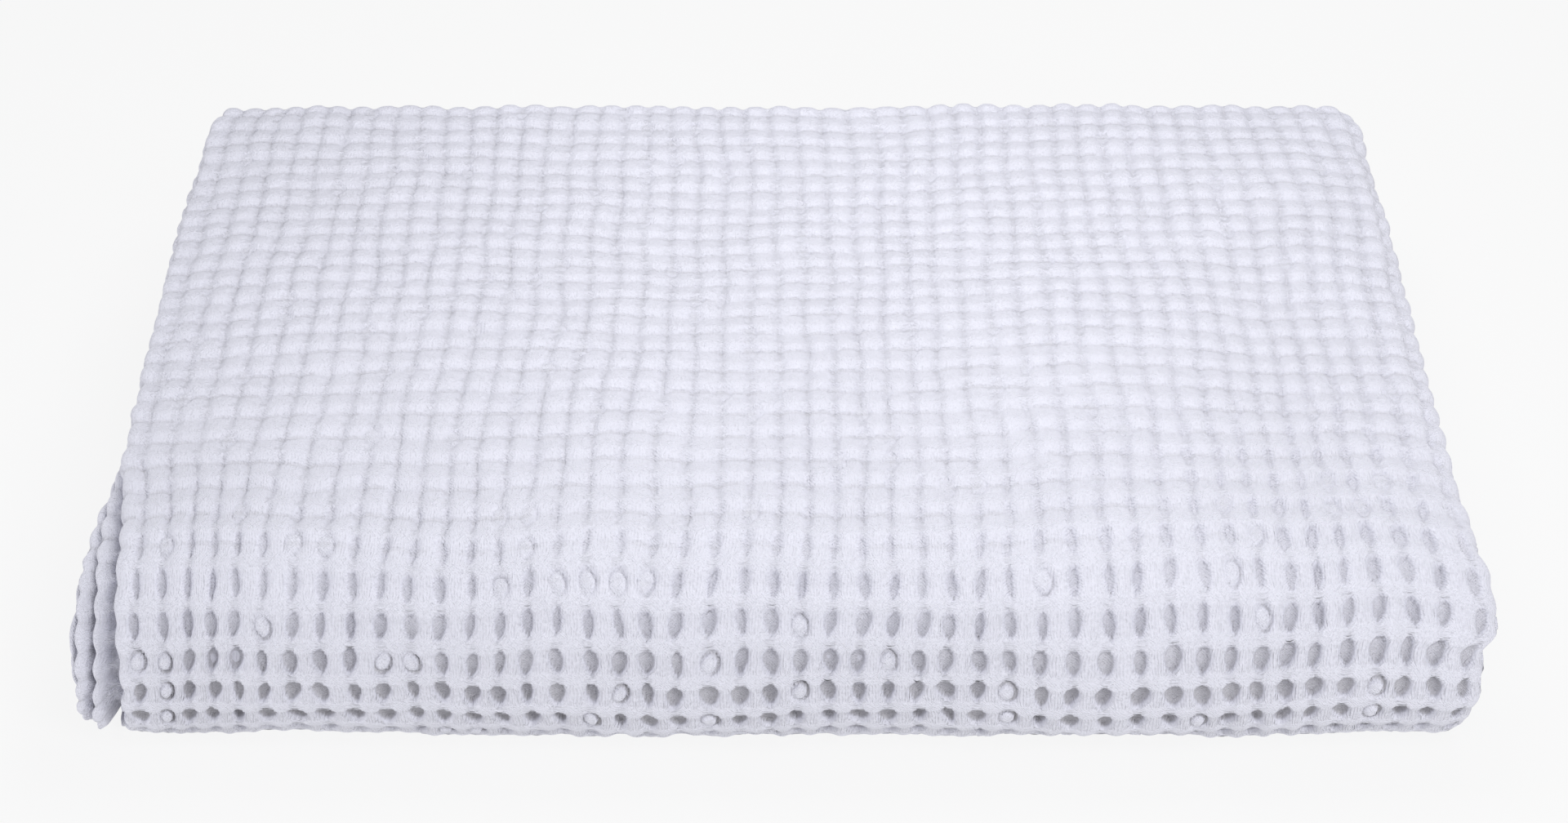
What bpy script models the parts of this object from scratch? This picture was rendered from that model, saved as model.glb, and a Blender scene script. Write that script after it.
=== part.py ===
"""Cotton honeycomb bedspread, folded to a low stack with one round fold in front.

The cloth is one sheet of about 2.1 m by 1.6 m. It is folded in half twice across its
width, which gives a layer of four plies, and that layer is folded in half twice along
its length, which gives a stack of four layers. Metres, X to the right, the round fold
towards -Y, Z up, the stack resting on Z = 0.
"""
import bpy
import bmesh
from mathutils import Matrix, Vector
from math import cos, sin, pi, exp

# The cloth and the air left between its plies and layers.
PLY = 0.0043
PLY_GAP = 0.0009
LAYER_GAP = 0.0013
PLY_PITCH = PLY + PLY_GAP
PLIES = 4
LAYER = PLIES * PLY + (PLIES - 1) * PLY_GAP
LAYER_PITCH = LAYER + LAYER_GAP

# The stack seen from the right: where the round folds are centred and the hems end.
NOSE_Y = -0.1560
INNER_NOSE_Y = -0.1540
BACK_Y = 0.1850
UNDER_HEM_Y = 0.1990
INNER_HEM_Y = 0.1930
NOSE_STRETCH = 1.11

# Heights of the middle of the four layers, from the floor up.
FLOOR_LAYER = LAYER / 2
LOWER_LAYER = FLOOR_LAYER + LAYER_PITCH
UPPER_LAYER = LOWER_LAYER + LAYER_PITCH
TOP_LAYER = UPPER_LAYER + LAYER_PITCH

# Stations that every straight run of the cloth shares, so that its layers stay apart.
RUN_Y = (-0.117, -0.075, -0.033, 0.009, 0.051, 0.091, 0.128, 0.160)
RUN_X = (-0.236, -0.130, -0.028, 0.065, 0.150, 0.230)
NOSE_STEPS = 12
SMALL_FOLD_STEPS = 6
WIDE_FOLD_STEPS = 6
TIGHT_FOLD_STEPS = 4

# How far the plies reach sideways along the length of the cloth. The column "part" counts
# the parts of the length: 0 under, 1 round fold, 2 top, 3 back fold, 4 inner run,
# 5 inner fold, 6 inner return, with the share of the part after the point. "fold" is the
# left fold of the outer two plies, "hem_a" and "hem_b" are the hems of the inner two,
# "right" is the fold on the right.
REACH_COLUMNS = ("part", "fold", "hem_a", "hem_b", "right")
REACH = (
    (0.00, -0.2500, -0.2550, -0.2590, 0.2510),
    (0.90, -0.2480, -0.2565, -0.2615, 0.2515),
    (1.10, -0.2460, -0.2570, -0.2625, 0.2520),
    (1.30, -0.2440, -0.2560, -0.2620, 0.2530),
    (1.50, -0.2440, -0.2535, -0.2605, 0.2540),
    (1.58, -0.2440, -0.2530, -0.2600, 0.2543),
    (1.66, -0.2445, -0.2530, -0.2600, 0.2592),
    (1.80, -0.2450, -0.2535, -0.2605, 0.2580),
    (2.00, -0.2460, -0.2550, -0.2605, 0.2542),
    (2.08, -0.2490, -0.2560, -0.2600, 0.2530),
    (2.16, -0.2535, -0.2555, -0.2575, 0.2525),
    (2.40, -0.2550, -0.2535, -0.2520, 0.2520),
    (2.70, -0.2555, -0.2535, -0.2510, 0.2522),
    (2.92, -0.2535, -0.2515, -0.2495, 0.2512),
    (3.10, -0.2490, -0.2470, -0.2450, 0.2490),
    (3.50, -0.2440, -0.2430, -0.2420, 0.2450),
    (4.10, -0.2530, -0.2515, -0.2500, 0.2510),
    (4.80, -0.2600, -0.2590, -0.2580, 0.2530),
    (5.20, -0.2630, -0.2625, -0.2620, 0.2520),
    (5.50, -0.2650, -0.2645, -0.2635, 0.2510),
    (5.80, -0.2650, -0.2645, -0.2635, 0.2510),
    (6.15, -0.2620, -0.2610, -0.2600, 0.2520),
    (7.00, -0.2550, -0.2540, -0.2530, 0.2500),
)

# Places where the stack stands higher or lower than even, as a share of its height.
SWELL_COLUMNS = ("x", "y", "spread_x", "spread_y", "share")
SWELL = (
    (-0.262, -0.010, 0.026, 0.300, -0.050),
    (0.262, 0.000, 0.026, 0.300, -0.045),
    (-0.028, 0.060, 0.022, 0.100, -0.018),
    (0.120, 0.090, 0.110, 0.110, 0.018),
    (-0.140, 0.060, 0.080, 0.120, 0.014),
    (0.195, -0.020, 0.028, 0.090, -0.018),
    (-0.200, -0.040, 0.060, 0.022, -0.010),
    (-0.090, -0.135, 0.090, 0.060, -0.012),
    (0.160, -0.155, 0.090, 0.060, 0.014),
)

# Places where the round fold bulges forward or falls back, in metres.
BULGE_COLUMNS = ("x", "spread", "forward")
BULGE = (
    (-0.200, 0.060, -0.0020),
    (-0.060, 0.070, 0.0015),
    (0.110, 0.080, 0.0020),
    (0.235, 0.035, -0.0025),
)


# The free edges on the left stand out past the outer ply's fold, downward and forward.
FAN_FROM_X = -0.2475
FAN_SOFTNESS = 0.003
FAN_MOST = 0.0115
FAN_WIDTH = 0.0085
FAN_Z = (FLOOR_LAYER + TOP_LAYER) / 2
FAN_RISE = 0.034
FAN_DEPTH = 0.090
FAN_X = (-0.2475, -0.2545)
FAN_ROOM = 0.0008


def row_of(columns, row):
    """The values of one row under the names of their columns."""
    return dict(zip(columns, row))


def ease(t):
    """Share of a way from 0 to 1 that starts and ends softly."""
    t = min(max(t, 0.0), 1.0)
    return t * t * (3 - 2 * t)


def reach_at(part):
    """Sideways reach of the plies at one place along the length."""
    rows = [row_of(REACH_COLUMNS, row) for row in REACH]
    for low, high in zip(rows, rows[1:]):
        if part <= high["part"]:
            share = ease((part - low["part"]) / (high["part"] - low["part"]))
            return {key: low[key] + (high[key] - low[key]) * share for key in low}
    return rows[-1]


def length_path():
    """Middle line of the layers seen from the right, from the hem under the stack.

    Each station is (part, y, z, normal y, normal z), the normal on the side of the
    outermost ply.
    """
    stations = [(0.0, UNDER_HEM_Y, FLOOR_LAYER, 0.0, -1.0)]

    def run(part, y_from, y_to, z, up):
        inside = [y for y in RUN_Y if min(y_from, y_to) < y < max(y_from, y_to)]
        if y_to < y_from:
            inside.reverse()
        for y in inside:
            stations.append((part + (y - y_from) / (y_to - y_from), y, z, 0.0, up))

    def bend(part, y, z_from, z_to, back, outer, steps):
        middle = (z_from + z_to) / 2
        radius = (z_to - z_from) / 2
        for step in range(steps + 1):
            turn = pi * step / steps
            out_y = back * sin(turn)
            out_z = -cos(turn) if radius > 0 else cos(turn)
            place = (y + abs(radius) * out_y, middle + abs(radius) * out_z)
            stations.append((part + step / steps, *place, outer * out_y, outer * out_z))

    run(0, UNDER_HEM_Y, NOSE_Y, FLOOR_LAYER, -1.0)
    bend(1, NOSE_Y, FLOOR_LAYER, TOP_LAYER, -1.0, 1.0, NOSE_STEPS)
    run(2, NOSE_Y, BACK_Y, TOP_LAYER, 1.0)
    bend(3, BACK_Y, TOP_LAYER, UPPER_LAYER, 1.0, 1.0, SMALL_FOLD_STEPS)
    run(4, BACK_Y, INNER_NOSE_Y, UPPER_LAYER, -1.0)
    bend(5, INNER_NOSE_Y, UPPER_LAYER, LOWER_LAYER, -1.0, -1.0, SMALL_FOLD_STEPS)
    run(6, INNER_NOSE_Y, INNER_HEM_Y, LOWER_LAYER, 1.0)
    stations.append((7.0, INNER_HEM_Y, LOWER_LAYER, 0.0, 1.0))
    return stations


def free(x):
    """Place across the stack that no reach moves."""
    return lambda reach: x


def beside(end, x):
    """Place across the stack at a distance from one end of the ply."""
    return lambda reach: reach[end] + x


def short_of(end, x, room):
    """Free place across the stack that keeps room to the left end of the ply."""
    return lambda reach: max(x, reach[end] + room)


def width_line():
    """Middle line of the four plies of a layer seen from the front, from hem to hem.

    Each station is (place, level, normal x, normal level), where place gives x for the
    reach of the plies.
    """
    level = [(k - (PLIES - 1) / 2) * PLY_PITCH for k in range(PLIES)]
    left_end = ("hem_b", "hem_a", "fold", "fold")
    side_fold = PLY_PITCH / 2 + PLY / 2
    line = []

    def ply(k, rightward):
        end = left_end[k]
        stop = side_fold if end == "fold" else 0.0
        places = [short_of(end, x, stop + (2 - n) * FAN_ROOM) for n, x in enumerate(FAN_X)]
        places = list(reversed(places)) + [free(x) for x in RUN_X]
        if not rightward:
            places.reverse()
        for place in places:
            line.append((place, level[k], 0.0, 1.0 if rightward else -1.0))

    def fold(end, k_from, k_to, side, steps, inset=0.0):
        middle = (level[k_from] + level[k_to]) / 2
        radius = (level[k_to] - level[k_from]) / 2
        size = abs(radius)
        rise = 1.0 if radius > 0 else -1.0
        inward = -1.0 if side * rise > 0 else 1.0
        for step in range(steps + 1):
            turn = pi * step / steps
            out_x = side * sin(turn)
            out_n = -rise * cos(turn)
            place = beside(end, size * out_x - side * (size + PLY / 2 + inset))
            line.append((place, middle + size * out_n, inward * out_x, inward * out_n))

    line.append((beside("hem_a", 0.0), level[1], 0.0, 1.0))
    ply(1, True)
    fold("right", 1, 2, 1.0, TIGHT_FOLD_STEPS, PLY_PITCH)
    ply(2, False)
    fold("fold", 2, 3, -1.0, TIGHT_FOLD_STEPS)
    ply(3, True)
    fold("right", 3, 0, 1.0, WIDE_FOLD_STEPS)
    ply(0, False)
    line.append((beside("hem_b", 0.0), level[0], 0.0, -1.0))
    return line


def fan_out(x, y, z):
    """Place of a point once the free edges on the left have sprung open."""
    past = max(FAN_FROM_X - x, 0.0)
    past = past * past / (past + FAN_SOFTNESS)
    amount = FAN_MOST * (1 - exp(-past / FAN_WIDTH))
    amount *= ease((FAN_Z + FAN_RISE - z) / FAN_RISE) * ease(1 - (y - NOSE_Y) / FAN_DEPTH)
    out = Vector((min(y - NOSE_Y, 0.0), z - FAN_Z)).normalized()
    return y + amount * out.x, z + amount * out.y


def settle(x, y, z):
    """Place of a point once the stack has settled unevenly under its own weight."""
    y, z = fan_out(x, y, z)
    if y < NOSE_Y:
        y = NOSE_Y + (y - NOSE_Y) * NOSE_STRETCH
    share = 0.0
    for row in SWELL:
        swell = row_of(SWELL_COLUMNS, row)
        across = (x - swell["x"]) / swell["spread_x"]
        along = (y - swell["y"]) / swell["spread_y"]
        share += swell["share"] * exp(-across * across - along * along)
    forward = 0.0
    for row in BULGE:
        bulge = row_of(BULGE_COLUMNS, row)
        across = (x - bulge["x"]) / bulge["spread"]
        forward += bulge["forward"] * exp(-across * across)
    nearness = ease((NOSE_Y + 0.04 - y) / 0.09)
    return x, y - forward * nearness, z * (1 + share)


def cloth_point(station, across, side):
    """One corner of the cloth: a place along its length and width, on one face."""
    part, y, z, normal_y, normal_z = station
    place, level, normal_x, normal_n = across
    x = place(reach_at(part)) + side * normal_x * PLY / 2
    level += side * normal_n * PLY / 2
    return settle(x, y + normal_y * level, z + normal_z * level)


def build_cloth(name):
    """The folded sheet as one closed body."""
    stations = length_path()
    line = width_line()
    mesh = bpy.data.meshes.new(name)
    shape = bmesh.new()
    faces = {}
    for side in (1, -1):
        faces[side] = [[shape.verts.new(cloth_point(s, a, side)) for a in line] for s in stations]
    rows = len(stations)
    columns = len(line)
    for i in range(rows - 1):
        for j in range(columns - 1):
            for side in (1, -1):
                grid = faces[side]
                quad = (grid[i][j], grid[i + 1][j], grid[i + 1][j + 1], grid[i][j + 1])
                shape.faces.new(quad if side > 0 else tuple(reversed(quad)))
    top, under = faces[1], faces[-1]
    for i in range(rows - 1):
        for j in (0, columns - 1):
            quad = (top[i][j], top[i + 1][j], under[i + 1][j], under[i][j])
            shape.faces.new(quad if j else tuple(reversed(quad)))
    for j in range(columns - 1):
        for i in (0, rows - 1):
            quad = (top[i][j], top[i][j + 1], under[i][j + 1], under[i][j])
            shape.faces.new(tuple(reversed(quad)) if i else quad)
    bmesh.ops.recalc_face_normals(shape, faces=shape.faces)
    for face in shape.faces:
        face.smooth = True
    shape.to_mesh(mesh)
    shape.free()
    cloth = bpy.data.objects.new(name, mesh)
    bpy.context.scene.collection.objects.link(cloth)
    return cloth


def stand_at_origin(mesh):
    """Move the cloth so that the bottom centre of its box is the origin."""
    xs, ys, zs = zip(*(point.co for point in mesh.vertices))
    middle = Vector(((min(xs) + max(xs)) / 2, (min(ys) + max(ys)) / 2, min(zs)))
    mesh.transform(Matrix.Translation(-middle))


def cotton(name):
    """Matt white cotton with a cool cast."""
    material = bpy.data.materials.new(name)
    material.use_nodes = True
    shader = material.node_tree.nodes["Principled BSDF"]
    shader.inputs["Base Color"].default_value = (0.80, 0.80, 0.84, 1.0)
    shader.inputs["Roughness"].default_value = 0.9
    return material


def main():
    for thing in list(bpy.data.objects):
        bpy.data.objects.remove(thing)
    cloth = build_cloth("bedspread")
    stand_at_origin(cloth.data)
    cloth.data.materials.append(cotton("white_cotton"))


main()
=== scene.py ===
"""Looks of the folded honeycomb bedspread: its weave, its edges, the light and the view.

The cloth is one sheet, folded in four both ways. Its hidden plies are one thin closed
body. What shows of the cloth is woven over that body cell by cell: the round fold in
front, the top, the back fold, the underside, the rolled side folds, the two hems on the
left and the hems of the cloth's ends at the back. Metres.
"""

from math import pi, radians

import bpy
import numpy as np
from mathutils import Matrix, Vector


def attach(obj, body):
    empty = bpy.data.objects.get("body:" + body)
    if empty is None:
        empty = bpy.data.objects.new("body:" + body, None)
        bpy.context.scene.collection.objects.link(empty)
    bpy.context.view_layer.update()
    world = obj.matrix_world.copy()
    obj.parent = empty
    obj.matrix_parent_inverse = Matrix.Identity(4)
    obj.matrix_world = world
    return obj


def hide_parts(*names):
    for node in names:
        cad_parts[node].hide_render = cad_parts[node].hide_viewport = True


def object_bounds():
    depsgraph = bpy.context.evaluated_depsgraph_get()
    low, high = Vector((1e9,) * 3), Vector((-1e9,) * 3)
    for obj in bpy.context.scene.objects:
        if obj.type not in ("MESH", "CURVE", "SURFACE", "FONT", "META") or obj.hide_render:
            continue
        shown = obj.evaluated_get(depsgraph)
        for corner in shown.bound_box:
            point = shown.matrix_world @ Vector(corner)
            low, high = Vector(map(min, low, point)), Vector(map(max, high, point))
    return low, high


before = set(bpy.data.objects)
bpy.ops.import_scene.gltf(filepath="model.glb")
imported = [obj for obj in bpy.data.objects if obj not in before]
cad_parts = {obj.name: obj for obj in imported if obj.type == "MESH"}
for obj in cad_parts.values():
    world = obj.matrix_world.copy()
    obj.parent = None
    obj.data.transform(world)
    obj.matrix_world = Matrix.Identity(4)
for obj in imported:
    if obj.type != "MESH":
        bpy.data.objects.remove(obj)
cad_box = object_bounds()

# The cloth and the air between its plies and layers, as in the solid.
PLY = 0.0043
PLY_GAP = 0.0009
LAYER_GAP = 0.0013
PLY_PITCH = PLY + PLY_GAP
PLIES = 4
LAYER = PLIES * PLY + (PLIES - 1) * PLY_GAP
LAYER_PITCH = LAYER + LAYER_GAP
# Height of each ply's middle over the middle of its layer.
LEVEL = [(k - (PLIES - 1) / 2) * PLY_PITCH for k in range(PLIES)]

# The stack seen from the right, as in the solid.
NOSE_Y = -0.1560
INNER_NOSE_Y = -0.1540
BACK_Y = 0.1850
UNDER_HEM_Y = 0.1990
INNER_HEM_Y = 0.1930
NOSE_STRETCH = 1.11
FLOOR_LAYER = LAYER / 2
LOWER_LAYER = FLOOR_LAYER + LAYER_PITCH
UPPER_LAYER = LOWER_LAYER + LAYER_PITCH
TOP_LAYER = UPPER_LAYER + LAYER_PITCH

# Parts of the cloth's length: kind, y and height where it starts, y and height where it
# ends, and the side on which the outermost ply lies: 1 up or outward, -1 the other.
PARTS = (
    ("run", UNDER_HEM_Y, FLOOR_LAYER, NOSE_Y, FLOOR_LAYER, -1),
    ("front", NOSE_Y, FLOOR_LAYER, NOSE_Y, TOP_LAYER, 1),
    ("run", NOSE_Y, TOP_LAYER, BACK_Y, TOP_LAYER, 1),
    ("back", BACK_Y, TOP_LAYER, BACK_Y, UPPER_LAYER, 1),
    ("run", BACK_Y, UPPER_LAYER, INNER_NOSE_Y, UPPER_LAYER, -1),
    ("front", INNER_NOSE_Y, UPPER_LAYER, INNER_NOSE_Y, LOWER_LAYER, -1),
    ("run", INNER_NOSE_Y, LOWER_LAYER, INNER_HEM_Y, LOWER_LAYER, 1),
)
INNER_FOLD, INNER_RETURN, END = 5, 6, 7
# The stretch of the length that shows as round fold, top and back fold.
SHOWN_FROM, SHOWN_TO = 0.90, 4.12
SHOWN_FACE = ("round_fold", "top_front", "top_back", "back_fold")

# Sideways reach of the plies along the cloth's length, close to the solid's.
REACH = (
    # part, fold, hem_a, hem_b, right
    (0.00, -0.2500, -0.2550, -0.2590, 0.2510),
    (0.90, -0.2500, -0.2565, -0.2615, 0.2515),
    (1.10, -0.2496, -0.2570, -0.2625, 0.2520),
    (1.30, -0.2452, -0.2560, -0.2620, 0.2530),
    (1.50, -0.2440, -0.2535, -0.2605, 0.2540),
    (1.58, -0.2440, -0.2530, -0.2600, 0.2543),
    (1.66, -0.2445, -0.2530, -0.2600, 0.2592),
    (1.80, -0.2450, -0.2535, -0.2605, 0.2580),
    (2.00, -0.2460, -0.2550, -0.2605, 0.2542),
    (2.08, -0.2490, -0.2560, -0.2600, 0.2530),
    (2.16, -0.2535, -0.2555, -0.2575, 0.2525),
    (2.40, -0.2550, -0.2535, -0.2520, 0.2520),
    (2.70, -0.2555, -0.2535, -0.2510, 0.2522),
    (2.92, -0.2535, -0.2515, -0.2495, 0.2512),
    (3.10, -0.2490, -0.2470, -0.2450, 0.2490),
    (3.50, -0.2440, -0.2430, -0.2420, 0.2450),
    (4.10, -0.2530, -0.2515, -0.2500, 0.2510),
    (4.80, -0.2600, -0.2590, -0.2580, 0.2530),
    (5.20, -0.2630, -0.2625, -0.2620, 0.2520),
    (5.50, -0.2650, -0.2645, -0.2635, 0.2510),
    (5.80, -0.2650, -0.2645, -0.2635, 0.2510),
    (6.15, -0.2620, -0.2610, -0.2600, 0.2520),
    (7.00, -0.2550, -0.2540, -0.2530, 0.2500),
)
ENDS = ("fold", "hem_a", "hem_b", "right")
# What ends each ply on the left, from the lowest ply of a layer up.
LEFT_END = ("hem_b", "hem_a", "fold", "fold")
USUAL_REACH = {"fold": -0.2560, "hem_a": -0.2535, "hem_b": -0.2520, "right": 0.2520}
# How far in from its end a change of reach still moves a face that spans the stack.
EDGE_BLEND = 0.070

# The folds at the sides: how far in from its end each outer face starts to turn, and how
# far the woven faces go on past the turn, under the ply or over it.
LEFT_TURN = PLY_PITCH / 2 + PLY / 2
RIGHT_TURN = -(1.5 * PLY_PITCH + PLY / 2)
TOP_FACE = LEVEL[3] + PLY / 2
FACE_TUCK = 0.018
LEFT_TUCK = 0.012
LEFT_OVERLAP = 0.024
RIGHT_OVERLAP = 0.020
# A face that spans the stack has two halves, whose points start this far apart.
HALVES_GAP = 0.001

# Places where the stack stands higher or lower than even, as a share of its height.
SWELL = (
    # x, y, spread_x, spread_y, share
    (-0.262, -0.010, 0.026, 0.300, -0.050),
    (0.262, 0.000, 0.026, 0.300, -0.045),
    (-0.028, 0.060, 0.022, 0.100, -0.018),
    (0.120, 0.090, 0.110, 0.110, 0.018),
    (-0.140, 0.060, 0.080, 0.120, 0.014),
    (0.195, -0.020, 0.028, 0.090, -0.018),
    (-0.200, -0.040, 0.060, 0.022, -0.010),
    (-0.090, -0.135, 0.090, 0.060, -0.012),
    (0.160, -0.155, 0.090, 0.060, 0.014),
)

# Places where the round fold bulges forward or falls back.
BULGE = (
    # x, spread, forward
    (-0.200, 0.060, -0.0020),
    (-0.060, 0.070, 0.0015),
    (0.110, 0.080, 0.0020),
    (0.235, 0.035, -0.0025),
)
BULGE_FROM = 0.04
BULGE_DEPTH = 0.09

# The free edges on the left stand out past the outer ply's fold, downward and forward,
# and near the floor a little more and more sharply.
FAN_FROM_X = -0.2475
FAN_SOFTNESS = 0.003
FAN_MOST = 0.0115
FAN_WIDTH = 0.0085
FAN_Z = (FLOOR_LAYER + TOP_LAYER) / 2
FAN_RISE = 0.034
FAN_DEPTH = 0.090
FAN_LOW_FROM = 0.008
FAN_LOW_SPREAD = 0.020
FAN_LOW_MORE = 0.22
FAN_LOW_SHARPER = 0.45

# The hidden plies: places along each run and fold of the length, stations across, and
# how far they keep clear of the woven pieces over them.
RUN_PLACES = 8
FOLD_PLACES = 12
FAN_STATIONS = np.arange(-0.2640, -0.2400, 0.0022)
MIDDLE_STATIONS = np.linspace(-0.225, 0.230, 9)
STATION_ROOM = 0.0004
HEM_ROOM = 0.008
HEM_CORE = 0.0004
FACE_CORE = 0.00015

# The honeycomb: one cell, and where along the length its first row starts.
COLUMN = 0.0110
ROW = 0.0140
ROW_START = 0.35
ROW_TABLE_PLACES = 7001
FIRST_ROW = 1
LAST_ROW_MARGIN = 0.2
# Share of a column that has passed where a face of cells starts.
FACE_COLUMN = 0.2
RIGHT_COLUMN = 0.4
HEM_COLUMN = 0.3
# Points to a cell on the shown face, the side folds, the hems, the ends and the underside.
CELL_STEPS = 11
EDGE_STEPS = 8
HEM_STEPS = 10
END_STEPS = 6
UNDER_STEPS = 5

# How slack the cloth is: 0 where it is stretched round the fold, 1 on top of the stack.
SLACK_BY_PART = (
    # part, slack
    (0.9, 0.20),
    (1.20, 0.0),
    (1.35, 0.0),
    (1.50, 0.08),
    (1.65, 0.30),
    (1.80, 0.54),
    (2.00, 0.80),
    (2.20, 1.0),
)
# Rows are longer where the cloth comes off the round fold on to the top.
ROW_STRETCH = (
    # part, length of a row as a share of the usual one
    (1.55, 1.0),
    (1.75, 1.12),
    (1.90, 1.32),
    (2.02, 1.42),
    (2.12, 1.34),
    (2.28, 1.12),
    (2.50, 1.0),
)
# The cloth is pulled tighter over the right end of the fold, so its hollows open further up.
TAUT = (
    # x, part, spread_x, spread_part, share of the slack taken up
    (0.215, 1.95, 0.085, 0.32, 0.36),
)

# Form of a cell on the tight round fold and on the slack top. Heights are metres over
# the ply's face, places and widths are shares of a cell.
CELL_FORM = {
    # name: (on the round fold, on the top)
    "base": (-0.0008, -0.0017),
    "ridge": (0.0006, 0.0012),
    "ridge_power": (2.0, 0.7),
    "puff": (0.0010, 0.0013),
    "puff_power": (2.0, 4.2),
    "crease_dip": (0.0, 0.6),
    "hollow": (0.0034, 0.0005),
    "hollow_width": (0.285, 0.10),
    "hollow_height": (0.39, 0.42),
    "lip": (0.0007, 0.0004),
    "button": (1.25, 0.50),
}
DEEPEST = -0.0042
HOLLOW_TAPER = 2.2
HOLLOW_DROP = 0.30
HOLLOW_LEAST = 0.02
HOLLOW_RIM = (1.22, 0.55)
HOLLOW_TIP = 0.25
LIP_WIDTH = 0.30
LIP_PLACE = 0.42
LIP_DEPTH = 0.10
# A button is a cell that has popped out: a round dome with a groove round it.
BUTTON_SHARE = 0.15
BUTTON_SIZE = (0.28, 0.31)
BUTTON_TURN = 3
BUTTON_RING = 0.0020
BUTTON_RING_WIDTH = 0.42
BUTTON_RING_DEPTH = (0.70, 0.30)
BUTTON_DOME = 0.0008
BUTTON_DOME_EDGE = (1.05, 0.7)
# How dark the painted shade in the groove round a button is, as a share of the groove's depth.
BUTTON_SHADE = 1.10
FLATTENED = 0.0006

# What each cell draws for itself: lattice number, lowest and highest value.
CELL_CHANCE = {
    "aside": (0, -0.07, 0.07),
    "lean": (1, -0.22, 0.22),
    "up": (2, -0.04, 0.04),
    "width": (3, 0.75, 1.25),
    "depth": (4, 0.75, 1.10),
    "button": (5, 0.0, 1.0),
    "turn": (6, -1.2, 1.2),
}
# How far columns and rows wander, in cells: amount, width of the lumps, seed.
COLUMN_WANDER = ((0.11, 2.3, 0), (0.34, 7.0, 1))
ROW_WANDER = ((0.11, 2.1, 2), (0.32, 8.0, 3))
UNEVEN = (0.0007, 1.1, 4)
PUFF_CHANGE = (0.45, 3.1, 5)
# The lattices of random numbers behind the lumps and the cells' own chances.
LUMP_LATTICE = 160
LUMP_FROM = (40.37, 20.61)
CHANCE_LATTICE = (97, 211)
CHANCE_FROM = 500
CHANCE_SEED = 10
WAVE_SEED = 30
SEED = 11

# The hems on the left, rolled round each ply's edge, their band flatter than the cloth.
HEM_TUCK = 0.014
HEM_SLACK = 0.6
HEM_FLATNESS = 0.15
HEM_BAND = 0.004
HEM_BAND_EDGE = 0.006

# The hems where the cloth ends, at the back of the two lowest layers.
END_TUCK = 0.008
END_ROUND_STEPS = 1.6
END_SLACK = 0.7
END_FLATNESS = 0.25
END_INSET = 0.0035
END_INNER_INSET = 0.0020
END_SET_BACK = (0.0012, 0.0, 0.0018, 0.0008)
END_WAVE = 0.0012
END_WAVE_LENGTH = 0.06
END_COLUMN = 0.31
END_ROWS_APART = 3.0
END_ROWS_A_PART = 40
CLOTH_ENDS = (
    # layer, part, y of the end, height of the layer, the outermost ply's side
    ("under", 0.0, UNDER_HEM_Y, FLOOR_LAYER, -1),
    ("inner", 6.999, INNER_HEM_Y, LOWER_LAYER, 1),
)

# The threads: how many cross a cell, and what they do to the bump and to the shade painted into the colour.
THREAD_HEIGHT = 0.00028
THREADS = 19.0
WEFT_TO_WARP = 1.27
THREAD_WANDER = 0.10
FLOAT_LINES = 9
FLOAT_BOW = -5.0
FLOAT_SPREAD = (0.55, 0.45)
FLOAT_RELIEF = (0.10, 0.55)
LIP_LINES = 15
LIP_BOW = 0.9
LIP_RELIEF = 0.55
PLAIN_RELIEF = 0.42
# Lumps of the bump and of its masks: scale, detail.
WANDER_LUMPS = (3.0, 2.0)
FINE_LUMPS = (11.0, 4.0)
BROAD_LUMPS = (4.6, 3.0)
CREASE_LUMPS = (0.8, 1.0)
GROOVE_LUMPS = (0.6, 1.0)
FINE_RELIEF = (2.7, 0.6)
BROAD_RELIEF = 2.0
HOLLOW_RELIEF = 1.6
CREASE_RELIEF = 1.6
GROOVE_RELIEF = 0.7
# Painted shade: lower threads, the dips between floats, the hollows, the creases and the grooves are
# painted greyer.
HEIGHT_SHADE = -0.06
FLOAT_SHADE = -0.10
HOLLOW_SHADE = (0.06, 0.58)
CREASE_SHADE = 0.20
GROOVE_SHADE = 0.07
# From nothing to full, in cells, in slack or in the mask's own measure.
FADE = {
    "hollow": (0.35, 0.80),
    "bridge": (0.30, 0.22),
    "bridge_end": (0.38, 0.24),
    "lip": (0.24, 0.14),
    "lip_row": (0.36, 0.42),
    "crease": (0.10, 0.02),
    "crease_slack": (0.35, 0.85),
    "crease_lumps": (-0.16, 0.06),
    "groove": (0.12, 0.02),
    "groove_lumps": (-0.14, 0.10),
}

COTTON_WHITE = (0.70, 0.70, 0.78)
# Painted shade: the hidden plies get a greyer copy of the white cotton, as they lie in the shade of the
# woven pieces.
SHADED_WHITE = (0.66, 0.66, 0.73)
# Painted shade: the grey that the cotton is mixed towards in its hollows, creases and grooves and between
# its threads.
PAINTED_SHADE_GREY = (0.36, 0.348, 0.355)
COTTON_FINISH = {
    "Roughness": 0.88,
    "Specular IOR Level": 0.25,
    "Sheen Weight": 0.15,
    "Sheen Roughness": 0.5,
}

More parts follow.
